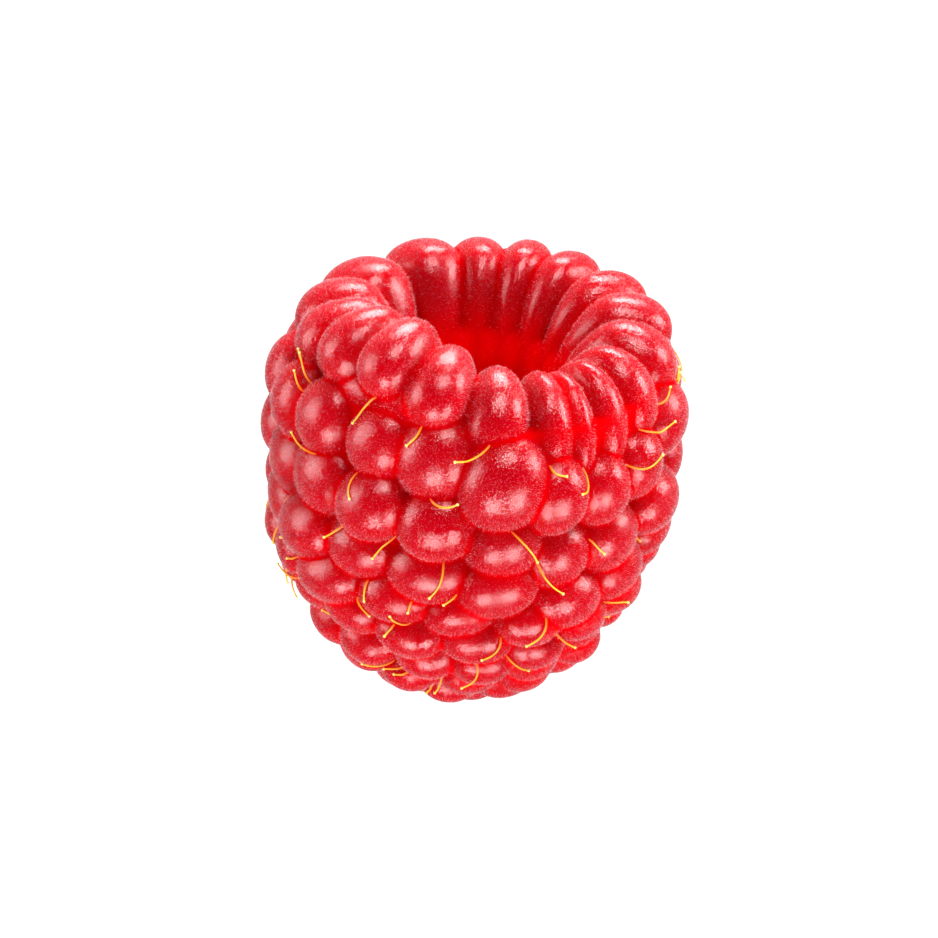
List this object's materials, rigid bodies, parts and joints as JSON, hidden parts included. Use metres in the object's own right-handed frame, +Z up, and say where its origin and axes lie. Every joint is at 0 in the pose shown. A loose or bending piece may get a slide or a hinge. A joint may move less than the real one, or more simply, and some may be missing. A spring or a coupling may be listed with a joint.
{
  "type": "raspberry",
  "caption": "Picked raspberry: a thimble of plump drupelets round an open hollow, standing on its blunt tip with the opening up.",
  "frame": {"origin": "On the resting plane, under the middle of the berry's box.", "axes": "+Z is up, from the blunt tip to the open rim. +Y points to the back, away from the side with the drooping rim slices. +X is to the right, the side towards which the rim drifts and dips."},
  "size_m": [0.0202, 0.0204, 0.0214],
  "materials": {
    "raspberry_skin": "soft red skin with a fine bloom of hairs"
  },
  "bodies": {
    "root": {"raspberry": "raspberry_skin"}
  },
  "joints": []
}
